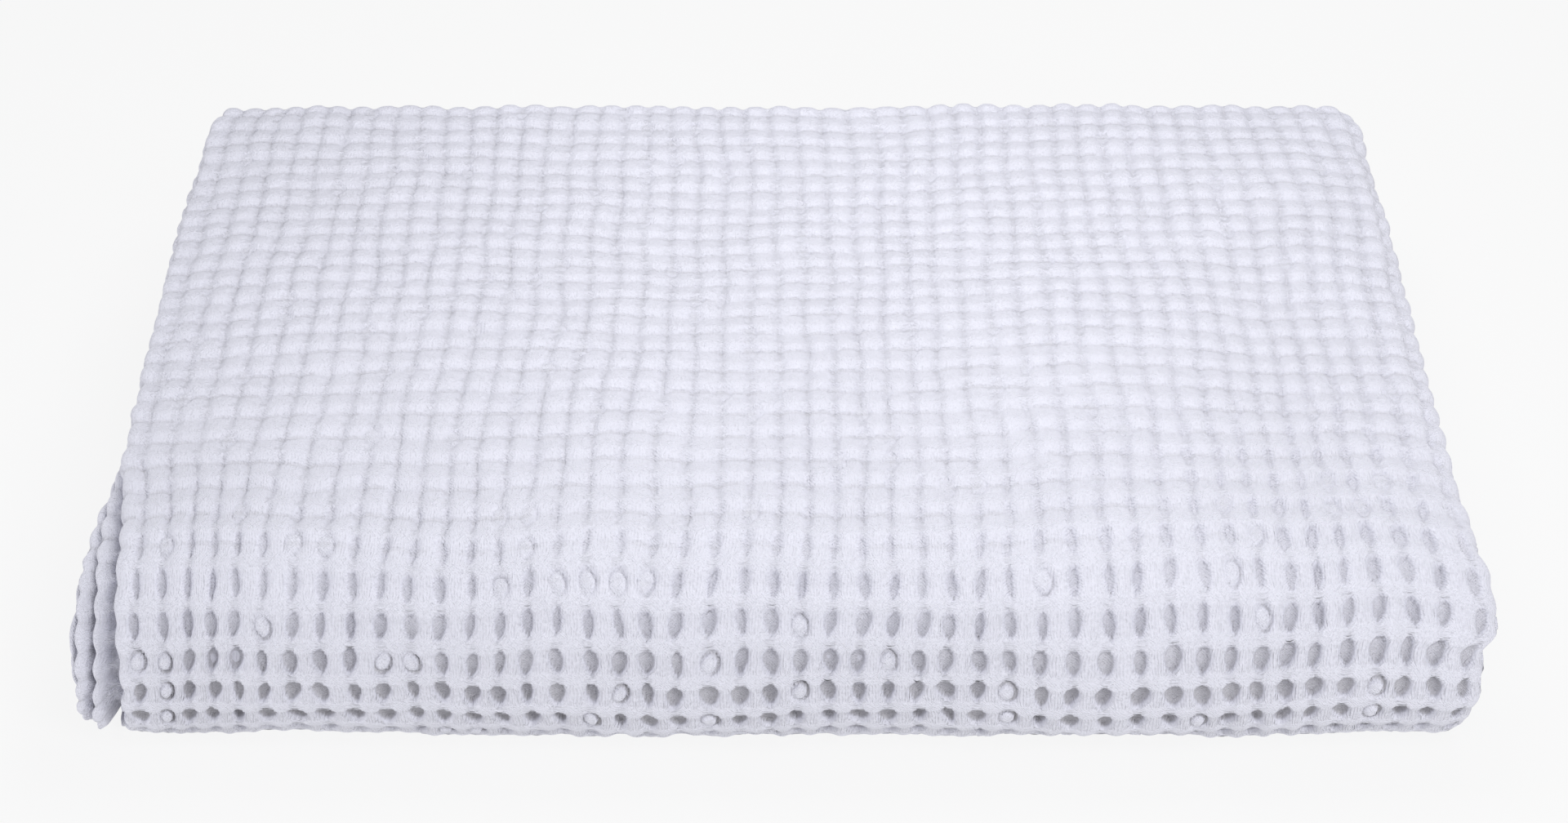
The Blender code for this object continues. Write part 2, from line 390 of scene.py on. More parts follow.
# The studio: its floor, the light of its walls, its soft boxes and the view.
FLOOR_REACH = 6.0
FLOOR_GREY = (0.08, 0.08, 0.08, 1.0)
FLOOR_GLOW = 0.865
WALL_WHITE = (0.96, 0.97, 1.0, 1.0)
WALL_LIGHT = 0.45
SOFT_BOXES = (
    # name, place, aim, size, power
    ("overhead", (0.05, 0.06, 0.60), (0.05, 0.06, 0.05), (0.35, 0.35), 1.6),
    ("behind", (0.45, 0.90, 1.10), (0.0, 0.0, 0.05), (0.6, 0.4), 3.2),
    ("front", (0.30, -1.10, 0.95), (0.05, -0.2, 0.03), (0.6, 0.5), 6.9),
    ("left", (-1.30, -0.55, 0.30), (-0.2, -0.15, 0.04), (0.5, 0.4), 5.5),
    ("right", (1.20, -1.20, 0.30), (0.15, -0.2, 0.04), (0.5, 0.4), 5.6),
)
SENSOR = 36.0
LENS = 97.24
VIEW_PLACE = (0.0013, -1.4845, 0.899)
VIEW_TILT = 59.92


def ease(t):
    """Share of a way from 0 to 1 that starts and ends softly."""
    t = np.clip(t, 0.0, 1.0)
    return t * t * (3 - 2 * t)


def unit(vectors):
    """Vectors of length one."""
    return vectors / np.maximum(np.linalg.norm(vectors, axis=-1, keepdims=True), 1e-12)


def fan_out(x, y, z):
    """Places once the free edges on the left have sprung open."""
    past = np.maximum(FAN_FROM_X - x, 0.0)
    past = past * past / (past + FAN_SOFTNESS)
    low = ease((FAN_Z - FAN_LOW_FROM - z) / FAN_LOW_SPREAD)
    width = FAN_WIDTH * (1 - FAN_LOW_SHARPER * low)
    amount = FAN_MOST * (1 + FAN_LOW_MORE * low) * (1 - np.exp(-past / width))
    amount = amount * ease((FAN_Z + FAN_RISE - z) / FAN_RISE) * ease(1 - (y - NOSE_Y) / FAN_DEPTH)
    out_y, out_z = np.minimum(y - NOSE_Y, 0.0), z - FAN_Z
    size = np.maximum(np.hypot(out_y, out_z), 1e-9)
    return y + amount * out_y / size, z + amount * out_z / size


def settle(x, y, z):
    """Places once the stack has settled unevenly under its own weight."""
    y, z = fan_out(x, y, z)
    y = np.where(y < NOSE_Y, NOSE_Y + (y - NOSE_Y) * NOSE_STRETCH, y)
    share = np.zeros_like(x)
    for at_x, at_y, spread_x, spread_y, amount in SWELL:
        share += amount * np.exp(-(((x - at_x) / spread_x) ** 2) - ((y - at_y) / spread_y) ** 2)
    forward = np.zeros_like(x)
    for at_x, spread, amount in BULGE:
        forward += amount * np.exp(-(((x - at_x) / spread) ** 2))
    nearness = ease((NOSE_Y + BULGE_FROM - y) / BULGE_DEPTH)
    return np.stack([x, y - forward * nearness, z * (1 + share)], axis=-1)


def reach_at(part, end):
    """Sideways reach of one end of the plies at places along the length."""
    at = np.array([row[0] for row in REACH])
    value = np.array([row[1 + ENDS.index(end)] for row in REACH])
    low = np.clip(np.searchsorted(at, part, side="right") - 1, 0, len(at) - 2)
    share = ease((part - at[low]) / (at[low + 1] - at[low]))
    return value[low] + (value[low + 1] - value[low]) * share


def along_length(part, table):
    """Value of a two-column table at places along the length."""
    return np.interp(part, [row[0] for row in table], [row[1] for row in table])


def length_places(part):
    """Middle line of the layers at places along the length: y, z and the normal's y, z."""
    part = np.clip(part, 0.0, END - 1e-9)
    which = part.astype(int)
    t = part - which
    y, z, normal_y, normal_z = (np.zeros_like(part) for _ in range(4))
    for index, (kind, y0, z0, y1, z1, outer) in enumerate(PARTS):
        here = which == index
        share = t[here]
        if kind == "run":
            y[here] = y0 + (y1 - y0) * share
            z[here] = z0
            normal_z[here] = outer
            continue
        turn = pi * share
        out_y = np.sin(turn) * (-1 if kind == "front" else 1)
        out_z = np.cos(turn) * (1 if z1 < z0 else -1)
        radius = abs(z1 - z0) / 2
        y[here] = y0 + radius * out_y
        z[here] = (z0 + z1) / 2 + radius * out_z
        normal_y[here] = outer * out_y
        normal_z[here] = outer * out_z
    return y, z, normal_y, normal_z


class FaceLine:
    """One face of the plies seen from the front, as a line that is walked by length."""

    def __init__(self):
        self.end, self.usual, self.level = [], [], []
        self.normal_x, self.normal_n = [], []
        self.length = [0.0]

    def add(self, end, x, level, normal_x, normal_n):
        """One point, with x counted from the named end."""
        usual = USUAL_REACH[end] + x
        if self.end:
            step = ((usual - self.usual[-1]) ** 2 + (level - self.level[-1]) ** 2) ** 0.5
            self.length.append(self.length[-1] + step)
        self.end.append(end)
        self.usual.append(usual)
        self.level.append(level)
        self.normal_x.append(normal_x)
        self.normal_n.append(normal_n)

    def straight(self, end, x_from, x_to, level, up, steps=8):
        """Along a ply."""
        for k in range(steps + 1):
            self.add(end, x_from + (x_to - x_from) * k / steps, level, 0.0, up)

    def bend(self, end, centre_x, centre_level, radius, from_turn, to_turn, steps=24):
        """Round a fold or a hem, with turns counted from straight up, clockwise."""
        for k in range(1, steps):
            turn = from_turn + (to_turn - from_turn) * k / steps
            out_x, out_n = np.sin(turn), np.cos(turn)
            self.add(end, centre_x + radius * out_x, centre_level + radius * out_n, out_x, out_n)

    def left_roll(self, tuck):
        """From under the outer ply round its rolled left fold."""
        self.straight("fold", LEFT_TURN + tuck, LEFT_TURN, LEVEL[2] - PLY / 2, -1.0)
        self.bend("fold", LEFT_TURN, (LEVEL[2] + LEVEL[3]) / 2, LEFT_TURN, pi, 2 * pi)

    def span(self):
        """Across the whole stack, from the left fold to the right fold."""
        self.straight("fold", LEFT_TURN, -USUAL_REACH["fold"], TOP_FACE, 1.0, steps=40)
        self.straight("right", -USUAL_REACH["right"] + HALVES_GAP, RIGHT_TURN, TOP_FACE, 1.0, steps=40)

    def right_roll(self, tuck):
        """Round the wide right fold of all four plies and back under them."""
        self.bend("right", RIGHT_TURN, 0.0, -RIGHT_TURN, 0.0, pi)
        self.straight("right", RIGHT_TURN, RIGHT_TURN - tuck, LEVEL[0] - PLY / 2, -1.0)

    def places(self, distance, part):
        """x, level and normal at these distances, for each place along the length."""
        length = np.array(self.length)
        level = np.interp(distance, length, self.level)
        normal_x = np.interp(distance, length, self.normal_x)
        normal_n = np.interp(distance, length, self.normal_n)
        size = np.hypot(normal_x, normal_n)
        x = np.interp(distance, length, self.usual)[None, :] + np.zeros((len(part), 1))
        spans = "fold" in self.end and "right" in self.end
        for end in sorted(set(self.end)):
            out = reach_at(part, end) - USUAL_REACH[end]
            if spans:
                gone = np.abs(x[0] - USUAL_REACH[end])
                own_side = np.sign(x[0]) == np.sign(USUAL_REACH[end])
                share = ease(1 - gone / EDGE_BLEND) * own_side
            else:
                share = np.interp(distance, length, [float(e == end) for e in self.end])
            x = x + out[:, None] * share[None, :]
        return x, level, normal_x / size, normal_n / size


def outer_face():
    """Face of the outermost ply, with the left fold and the wide right fold."""
    line = FaceLine()
    line.left_roll(FACE_TUCK)
    line.span()
    line.right_roll(FACE_TUCK)
    return line


def left_fold_face():
    """Face of the rolled left fold of the outer two plies."""
    line = FaceLine()
    line.left_roll(LEFT_TUCK)
    line.straight("fold", LEFT_TURN, LEFT_TURN + LEFT_OVERLAP, TOP_FACE, 1.0)
    return line


def right_fold_face():
    """Face of the wide right fold round all four plies."""
    line = FaceLine()
    line.straight("right", RIGHT_TURN - RIGHT_OVERLAP, RIGHT_TURN, TOP_FACE, 1.0)
    line.right_roll(RIGHT_OVERLAP)
    return line


def hem_face(end, k):
    """Both faces of one ply at its hem, and the rolled edge between them."""
    line = FaceLine()
    line.straight(end, HEM_TUCK, PLY / 2, LEVEL[k] - PLY / 2, -1.0)
    line.bend(end, PLY / 2, LEVEL[k], PLY / 2, pi, 2 * pi, steps=12)
    line.straight(end, PLY / 2, HEM_TUCK, LEVEL[k] + PLY / 2, 1.0)
    return line


def under_face():
    """Underside of the stack between its left and right folds."""
    line = FaceLine()
    line.span()
    return line


def row_table():
    """Rows of cells counted along the outermost face, against the parts of the length."""
    part = np.linspace(0.0, END, ROW_TABLE_PLACES)
    y, z, normal_y, normal_z = length_places(part)
    out = LAYER / 2
    place = settle(np.zeros_like(y), y + out * normal_y, z + out * normal_z)
    step = np.linalg.norm(np.diff(place, axis=0), axis=1)
    inward = (part[1:] > INNER_FOLD) & (part[1:] < INNER_RETURN)
    step = np.where(inward, pi * LAYER / (part.size / END), step)
    step = step / along_length(part[1:], ROW_STRETCH)
    rows = np.concatenate([[0.0], np.cumsum(step)]) / ROW
    return part, rows + ROW_START


def value_noise(u, v, spacing, seed):
    """Soft random field of -1 to 1 over the cells, with lumps about spacing cells wide."""
    lattice = np.random.default_rng(seed).uniform(-1, 1, (LUMP_LATTICE, LUMP_LATTICE))
    a, b = u / spacing + LUMP_FROM[0], v / spacing + LUMP_FROM[1]
    i, j = np.floor(a).astype(int), np.floor(b).astype(int)
    fa, fb = ease(a - i), ease(b - j)
    i, j = i % (LUMP_LATTICE - 1), j % (LUMP_LATTICE - 1)
    low = lattice[i, j] * (1 - fa) + lattice[i + 1, j] * fa
    high = lattice[i, j + 1] * (1 - fa) + lattice[i + 1, j + 1] * fa
    return low * (1 - fb) + high * fb


def lumpy(start, u, v, *kinds):
    """A value with soft lumps added to it, each an amount, a width in cells and a seed."""
    for amount, spacing, seed in kinds:
        start = start + amount * value_noise(u, v, spacing, SEED + seed)
    return start


def cell_chance(i, j):
    """What each cell has drawn for itself."""
    cell = (i + CHANCE_FROM) % CHANCE_LATTICE[0], (j + CHANCE_FROM) % CHANCE_LATTICE[1]
    drawn = {}
    for name, (number, low, high) in CELL_CHANCE.items():
        lattice = np.random.default_rng(SEED + CHANCE_SEED + number).random(CHANCE_LATTICE)
        drawn[name] = low + (high - low) * lattice[cell]
    return drawn


def weave(u, v, slack, flatness=0.0):
    """Height of the honeycomb over the ply's face, how hollow it is, and its own rows."""
    form = {name: low + (high - low) * slack for name, (low, high) in CELL_FORM.items()}
    wide, deep = lumpy(u, u, v, *COLUMN_WANDER), lumpy(v, u, v, *ROW_WANDER)
    i, j = np.floor(wide).astype(int), np.floor(deep).astype(int)
    x, y = wide - i - 0.5, deep - j - 0.5
    drawn = cell_chance(i, j)

    ridge = np.abs(np.sin(pi * y)) ** form["ridge_power"]
    puff = form["puff"] * (1 - np.abs(np.cos(pi * x)) ** form["puff_power"])
    puff = puff * (1 - form["crease_dip"] * (1 - ridge)) * lumpy(1, wide, deep, PUFF_CHANGE)
    uneven = lumpy(0, wide, deep, UNEVEN)
    lip = form["lip"] * ease(1 - np.abs(x) / LIP_WIDTH) * ease(1 - np.abs(y - LIP_PLACE) / LIP_DEPTH)

    aside = x - drawn["aside"] - drawn["lean"] * y
    along = (drawn["up"] - y) / form["hollow_height"]
    width = form["hollow_width"] * drawn["width"]
    width = width * (1 - np.clip(np.abs(along), 0, 1) ** HOLLOW_TAPER) * (1 - HOLLOW_DROP * along)
    edge = np.abs(aside) / np.maximum(width, HOLLOW_LEAST)
    inside = ease((HOLLOW_RIM[0] - edge) / HOLLOW_RIM[1]) * ease((1 - np.abs(along)) / HOLLOW_TIP)

    centre = np.hypot(aside / BUTTON_SIZE[0], along * form["hollow_height"] / BUTTON_SIZE[1])
    turn = np.arctan2(along, aside * BUTTON_TURN) - drawn["turn"]
    ring = ease(1 - np.abs(centre - 1) / BUTTON_RING_WIDTH)
    ring = ring * (BUTTON_RING_DEPTH[0] + BUTTON_RING_DEPTH[1] * np.cos(turn)) * form["button"]
    dome = BUTTON_DOME * ease((BUTTON_DOME_EDGE[0] - centre) / BUTTON_DOME_EDGE[1]) * form["button"]

    popped = drawn["button"] < BUTTON_SHARE
    hollow = np.where(popped, BUTTON_RING * ring - dome, form["hollow"] * drawn["depth"] * inside)
    height = form["base"] + form["ridge"] * ridge + puff + uneven + lip - hollow
    height = np.maximum(height, DEEPEST) * (1 - flatness) - FLATTENED * flatness
    # The second value says how hollow the cell is, which the material turns into painted shade; round a
    # popped button it is the groove's painted shade.
    return height, np.where(popped, BUTTON_SHADE * ring, inside) * (1 - flatness), wide, deep


def hem_flatness(distance):
    """The hem's own narrow band is flatter than the cloth beyond it."""
    middle = distance[-1] / 2
    return HEM_FLATNESS * (1 - ease((np.abs(distance - middle) - HEM_BAND) / HEM_BAND_EDGE))


def slack_at(x, part):
    """How slack the cloth lies at these places."""
    slack = along_length(part, SLACK_BY_PART)[:, None] + np.zeros_like(x)
    for at_x, at_part, spread_x, spread_part, share in TAUT:
        near = -(((x - at_x) / spread_x) ** 2) - ((part[:, None] - at_part) / spread_part) ** 2
        slack = slack * (1 - share * np.exp(near))
    return slack


def placed(x, y, z):
    """Places in the frame, none of them below the floor."""
    place = settle(x, y, z) + SHIFT
    place[..., 2] = np.maximum(place[..., 2], 0.0)
    return place


def grid_normals(place):
    """Normals of a grid of points."""
    return unit(np.cross(np.gradient(place, axis=1), np.gradient(place, axis=0)))


def woven_grid(line, rows_from, rows_to, steps, column_start, least_slack, flatness):
    """Points, normals and weave places of one face of the cloth between two rows."""
    part_table, row_of_part = row_table()
    rows = np.arange(int(round((rows_to - rows_from) * steps)) + 1) / steps + rows_from
    part = np.interp(rows, row_of_part, part_table)
    columns = int(round(line.length[-1] / COLUMN * steps))
    distance = np.linspace(0.0, line.length[-1], columns + 1)
    x, level, normal_x, normal_n = line.places(distance, part)
    u = (distance / COLUMN + column_start)[None, :] + np.zeros_like(x)
    v = rows[:, None] + np.zeros_like(x)
    slack = np.maximum(slack_at(x, part), least_slack)
    flat = flatness(distance)[None, :] + np.zeros_like(x) if flatness else 0.0
    height, hollow, wide, deep = weave(u, v, slack, flat)
    y, z, normal_y, normal_z = (value[:, None] for value in length_places(part))
    out = level + height * normal_n
    place = placed(x + height * normal_x, y + normal_y * out, z + normal_z * out)
    return place, grid_normals(place), np.stack([wide, deep, hollow, slack], axis=-1)


def keep_cell(mesh, cell):
    """Columns and rows counted over the weave, how hollow it is there and how slack."""
    for name, values in (("cell_x", 0), ("cell_y", 1), ("hollow", 2), ("slack", 3)):
        kept = mesh.attributes.new(name, "FLOAT", "POINT")
        kept.data.foreach_set("value", cell[..., values].reshape(-1).astype(np.float32))


def shown_piece(name, mesh):
    """Object of a mesh, put into the scene."""
    piece = bpy.data.objects.new(name, mesh)
    bpy.context.scene.collection.objects.link(piece)
    return piece


def grid_mesh(name, place, normal, cell, facing, material):
    """Mesh of a grid of points, smooth, with the weave places kept on it."""
    rows, columns = place.shape[:2]
    index = np.arange(rows * columns).reshape(rows, columns)
    corners = [index[:-1, :-1], index[:-1, 1:], index[1:, 1:], index[1:, :-1]]
    if facing < 0:
        corners.reverse()
    faces = np.stack([corner.ravel() for corner in corners], axis=1)
    mesh = bpy.data.meshes.new(name)
    mesh.vertices.add(rows * columns)
    mesh.vertices.foreach_set("co", place.reshape(-1).astype(np.float32))
    mesh.loops.add(faces.size)
    mesh.loops.foreach_set("vertex_index", faces.reshape(-1).astype(np.int32))
    mesh.polygons.add(len(faces))
    mesh.polygons.foreach_set("loop_start", np.arange(0, faces.size, 4, dtype=np.int32))
    mesh.update(calc_edges=True)
    mesh.shade_smooth()
    keep_cell(mesh, cell)
    mesh.normals_split_custom_set_from_vertices((facing * normal).reshape(-1, 3))
    mesh.materials.append(material)
    return shown_piece(name, mesh)


def woven_pieces(names_and_rows, line, steps, column_start, material, least_slack=0.0, flatness=None):
    """Neighbouring pieces of one face, cut from one grid so that no seam shows between them."""
    start, stop = names_and_rows[0][1], names_and_rows[-1][2]
    grids = woven_grid(line, start, stop, steps, column_start, least_slack, flatness)
    made = []
    for name, rows_from, rows_to in names_and_rows:
        low = int(round((rows_from - start) * steps))
        high = int(round((rows_to - start) * steps)) + 1
        made.append(grid_mesh(name, *(grid[low:high] for grid in grids), 1, material))
    return made


def end_hem(name, k, part, hem_y, layer_z, up, material):
    """Rolled hem of one ply where the cloth ends at the back of the stack."""
    turns = pi * PLY / 2
    total = 2 * END_TUCK + turns
    steps = int(round(total / ROW * END_STEPS * END_ROUND_STEPS))
    walk = np.linspace(0.0, total, steps + 1)
    turn = np.clip((walk - END_TUCK) / turns, 0.0, 1.0) * pi
    back = np.where(walk > END_TUCK + turns, walk - END_TUCK - turns, 0.0)
    back = np.where(walk < END_TUCK, END_TUCK - walk, back)
    out_y, out_n = np.sin(turn), -np.cos(turn)

    at = np.array([part])
    low_end = LEFT_END[k]
    low = float(reach_at(at, low_end)[0]) + (END_INSET if low_end == "fold" else 0.0)
    inset = END_INSET if k in (0, PLIES - 1) else PLY_PITCH + END_INNER_INSET
    high = float(reach_at(at, "right")[0]) - inset
    columns = int(round((high - low) / COLUMN * END_STEPS))
    x = np.linspace(low, high, columns + 1)[None, :] + np.zeros((steps + 1, 1))

    u = x / COLUMN + END_COLUMN * k
    v = walk[:, None] / ROW + np.zeros_like(x) + END_ROWS_APART * k + END_ROWS_A_PART * part
    slack = np.full_like(x, END_SLACK)
    height, hollow, wide, deep = weave(u, v, slack, END_FLATNESS)
    along = x / END_WAVE_LENGTH
    wave = END_WAVE * value_noise(along, np.zeros_like(x), 1.0, SEED + WAVE_SEED + k)
    radius = PLY / 2 + height
    y = hem_y - END_SET_BACK[k] + wave - PLY / 2 - back[:, None] + out_y[:, None] * radius
    z = layer_z + up * (LEVEL[k] + out_n[:, None] * radius)
    place = placed(x, y, z)
    cell = np.stack([wide, deep, hollow, slack], axis=-1)
    return grid_mesh(name, place, grid_normals(place), cell, -up, material)


def across_line():
    """Middle line of the four plies from hem to hem, with the normal of the woven face.

    Each station holds its end, x, the least room that it keeps from that end, level,
    normal and which of its faces a woven piece covers.
    """
    line = []

    def ply(k, rightward):
        end = LEFT_END[k]
        stop = LEFT_TURN if end == "fold" else HEM_ROOM
        edge = "outer" if end == "fold" else "both"
        stations = [(end, x, stop + STATION_ROOM * (n + 1), edge) for n, x in enumerate(FAN_STATIONS)]
        covered = "outer" if k == PLIES - 1 else ""
        stations += [("", x, 0.0, covered) for x in MIDDLE_STATIONS]
        for near, x, room, cover in stations if rightward else stations[::-1]:
            line.append((near, x, room, LEVEL[k], 0.0, 1.0 if rightward else -1.0, cover))

    def fold(end, k_from, k_to, side, steps, covered):
        middle = (LEVEL[k_from] + LEVEL[k_to]) / 2
        size = abs(LEVEL[k_to] - LEVEL[k_from]) / 2
        rise = 1.0 if k_to > k_from else -1.0
        inward = -1.0 if side * rise > 0 else 1.0
        for step in range(steps + 1):
            turn = pi * step / steps
            out_x, out_n = side * np.sin(turn), -rise * np.cos(turn)
            x = size * out_x - side * (size + PLY / 2)
            line.append((end, x, None, middle + size * out_n, inward * out_x, inward * out_n, covered))

    line.append(("hem_a", HEM_ROOM, None, LEVEL[1], 0.0, 1.0, "both"))
    ply(1, True)
    fold("inner_right", 1, 2, 1.0, 4, "")
    ply(2, False)
    fold("fold", 2, 3, -1.0, 6, "outer")
    ply(3, True)
    fold("right", 3, 0, 1.0, 8, "outer")
    ply(0, False)
    line.append(("hem_b", HEM_ROOM, None, LEVEL[0], 0.0, -1.0, "both"))
    return line


def station_x(end, x, room, part):
    """x of one station across, at places along the length."""
    if end == "inner_right":
        return x + reach_at(part, "right") - PLY_PITCH
    if end and room is not None:
        return np.maximum(x, reach_at(part, end) + room)
    if end:
        return x + reach_at(part, end)
    return np.full_like(part, x)


def face_lift(side, covered, sunk):
    """How far one face of the sheet lies from its middle line."""
    if sunk and covered == "both":
        return side * HEM_CORE
    if sunk and covered == "outer" and side > 0:
        return -PLY / 2 + FACE_CORE
    return side * PLY / 2


def ply_faces(sunk):
    """Both faces of the whole sheet; where sunk, they lie below the woven pieces over them."""
    part = [np.linspace(k, k + 1, (RUN_PLACES if k % 2 == 0 else FOLD_PLACES) + 1)[:-1] for k in range(END)]
    part = np.append(np.concatenate(part), END - 1e-6)
    y, z, normal_y, normal_z = (value[:, None] for value in length_places(part))
    faces = []
    for side in (1, -1):
        columns = []
        for end, x, room, level, normal_x, normal_n, covered in across_line():
            lift = face_lift(side, covered, sunk)
            columns.append((station_x(end, x, room, part) + normal_x * lift, level + normal_n * lift))
        x_grid = np.stack([c[0] for c in columns], axis=1)
        n_grid = np.stack([c[1] + np.zeros_like(part) for c in columns], axis=1)
        faces.append(settle(x_grid, y + normal_y * n_grid, z + normal_z * n_grid))
    return faces


def closed_sheet(name, faces, material):
    """Closed mesh between two grids of points."""
    rows, columns = faces[0].shape[:2]
    points = np.concatenate([face.reshape(-1, 3) for face in faces])
    index = np.arange(rows * columns).reshape(rows, columns)
    lower = index + rows * columns

    def quads(grid):
        corners = [grid[:-1, :-1], grid[:-1, 1:], grid[1:, 1:], grid[1:, :-1]]
        return np.stack(corners, axis=-1).reshape(-1, 4)

    rim = np.concatenate([index[0, :], index[1:, -1], index[-1, -2::-1], index[-2:0:-1, 0]])
    after = np.roll(rim, -1)
    sides = np.stack([after, rim, rim + rows * columns, after + rows * columns], axis=1)
    polygons = np.concatenate([quads(index), quads(lower)[:, ::-1], sides])
    mesh = bpy.data.meshes.new(name)
    mesh.from_pydata(points.tolist(), [], polygons.tolist())
    mesh.shade_smooth()
    cell = np.zeros((len(points), 4))
    cell[:, :2] = points[:, :2] / (COLUMN, ROW)
    keep_cell(mesh, cell)
    mesh.materials.append(material)
    return shown_piece(name, mesh)


def cad_shift(faces):
    """Move that brings the worked-out stack onto the solid, whose box is centred."""
    points = np.concatenate([face.reshape(-1, 3) for face in faces])
    low, high = np.array(cad_box[0]), np.array(cad_box[1])
    middle = (points.min(axis=0) + points.max(axis=0)) / 2
    shift = (low + high) / 2 - middle
    shift[2] = low[2] - points[:, 2].min()
    return shift


class Nodes:
    """Short names for the nodes of one material or group."""

    def __init__(self, tree):
        self.tree = tree

    def add(self, kind, **values):
        node = self.tree.nodes.new(kind)
        for name, value in values.items():
            setattr(node, name, value)
        return node

    def link(self, source, target):
        if hasattr(source, "links"):
            self.tree.links.new(source, target)
        else:
            target.default_value = source

    def math(self, operation, a, b=None, clamp=False):
        node = self.add("ShaderNodeMath", operation=operation, use_clamp=clamp)
        for socket, value in zip(node.inputs, (a, b)):
            if value is not None:
                self.link(value, socket)
        return node.outputs[0]

    def plus(self, a, b):
        return self.math("ADD", a, b)

    def minus(self, a, b, clamp=False):
        return self.math("SUBTRACT", a, b, clamp)

    def times(self, a, *others):
        for b in others:
            a = self.math("MULTIPLY", a, b)
        return a

    def between(self, value, low, high):
        """0 at low, 1 at high, soft between."""
        node = self.add("ShaderNodeMapRange", interpolation_type="SMOOTHSTEP")
        self.link(value, node.inputs["Value"])
        node.inputs["From Min"].default_value = low
        node.inputs["From Max"].default_value = high
        return node.outputs["Result"]


def thread_group():
    """Threads of the weave over its cells: their height, and how much painted shade their colour takes."""
    tree = bpy.data.node_groups.new("honeycomb_threads", "ShaderNodeTree")
    faces = tree.interface
    for name in ("Column", "Row", "Hollow", "Slack"):
        faces.new_socket(name, in_out="INPUT", socket_type="NodeSocketFloat")
    count = faces.new_socket("Threads", in_out="INPUT", socket_type="NodeSocketFloat")
    count.default_value = THREADS
    faces.new_socket("Height", in_out="OUTPUT", socket_type="NodeSocketFloat")
    faces.new_socket("Shade", in_out="OUTPUT", socket_type="NodeSocketFloat")
    n = Nodes(tree)
    result = n.add("NodeGroupOutput")
    given = n.add("NodeGroupInput").outputs
    column, row, slack, threads = given["Column"], given["Row"], given["Slack"], given["Threads"]
    spot = n.add("ShaderNodeCombineXYZ")
    n.link(column, spot.inputs[0])
    n.link(n.times(row, ROW / COLUMN), spot.inputs[1])

    def lumps(scale, detail):
        noise = n.add("ShaderNodeTexNoise", noise_dimensions="3D")
        n.link(spot.outputs[0], noise.inputs["Vector"])
        noise.inputs["Scale"].default_value = scale
        noise.inputs["Detail"].default_value = detail
        return n.minus(noise.outputs[0], 0.5)

    # Place in the cell, from its middle, with the threads wandering a little.
    wander = n.times(lumps(*WANDER_LUMPS), THREAD_WANDER)
    u, v = n.plus(column, wander), n.plus(row, wander)
    x = n.minus(n.math("FRACT", u), 0.5)
    y = n.minus(n.math("FRACT", v), 0.5)
    beside, away = n.math("ABSOLUTE", x), n.math("ABSOLUTE", y)
    from_bridge = n.minus(0.5, beside)
    inside = n.between(given["Hollow"], *FADE["hollow"])
    tight = n.minus(1.0, slack, clamp=True)

    # Plain weave all over the cell.
    warp_turn = n.times(u, threads, pi)
    weft_turn = n.times(v, n.times(threads, WEFT_TO_WARP), pi)
    plain = n.times(n.math("SINE", warp_turn), n.math("SINE", weft_turn))

    # Long floats that bow over the bridges between the hollows.
    bow = n.plus(1.0, n.times(n.times(y, y), FLOAT_BOW))
    spread = n.math("DIVIDE", from_bridge, n.plus(n.times(bow, FLOAT_SPREAD[0]), FLOAT_SPREAD[1]))
    float_lines = n.math("COSINE", n.times(spread, 2 * pi * FLOAT_LINES))
    on_bridge = n.times(n.between(from_bridge, *FADE["bridge"]), n.between(away, *FADE["bridge_end"]))
    on_bridge = n.times(on_bridge, n.minus(1.0, inside, clamp=True))

    # Threads that lie along the lips above and below each hollow.
    lift = n.minus(y, n.times(n.times(x, x), LIP_BOW))
    lip_lines = n.math("COSINE", n.times(lift, 2 * pi * LIP_LINES))
    on_lip = n.times(n.between(beside, *FADE["lip"]), n.between(away, *FADE["lip_row"]))

    # Fine creases across and grooves along, where the cloth is slack, here and there.
    crease = n.times(n.between(away, *FADE["crease"]), n.between(slack, *FADE["crease_slack"]))
    crease = n.times(crease, n.between(lumps(*CREASE_LUMPS), *FADE["crease_lumps"]))
    groove = n.times(n.between(beside, *FADE["groove"]), slack)
    groove = n.times(groove, n.between(lumps(*GROOVE_LUMPS), *FADE["groove_lumps"]))

    flat = n.minus(1.0, n.math("MAXIMUM", on_bridge, on_lip), clamp=True)
    relief = n.plus(FLOAT_RELIEF[0], n.times(tight, FLOAT_RELIEF[1]))
    floats = n.times(float_lines, on_bridge, relief)
    height = n.plus(n.times(plain, flat, PLAIN_RELIEF), floats)
    height = n.plus(height, n.times(lip_lines, on_lip, LIP_RELIEF))
    relief = n.plus(FINE_RELIEF[0], n.times(slack, FINE_RELIEF[1]))
    height = n.plus(height, n.times(lumps(*FINE_LUMPS), relief))
    height = n.plus(height, n.times(lumps(*BROAD_LUMPS), BROAD_RELIEF))

    # Painted shade: the hollows are painted greyer, the more so the tighter the cloth, and so are low
    # threads, creases and grooves.
    dark = n.times(n.math("POWER", tight, 3.0), HOLLOW_SHADE[1])
    shade = n.plus(n.times(height, HEIGHT_SHADE), n.times(floats, FLOAT_SHADE))
    shade = n.plus(shade, n.times(inside, n.plus(HOLLOW_SHADE[0], dark)))
    shade = n.plus(shade, n.times(crease, CREASE_SHADE))
    shade = n.plus(shade, n.times(groove, GROOVE_SHADE))

    height = n.minus(height, n.times(inside, n.math("POWER", tight, 2.0), HOLLOW_RELIEF))
    height = n.minus(height, n.times(crease, CREASE_RELIEF))
    height = n.minus(height, n.times(groove, GROOVE_RELIEF))
    n.link(height, result.inputs["Height"])
    n.link(shade, result.inputs["Shade"])
    return tree


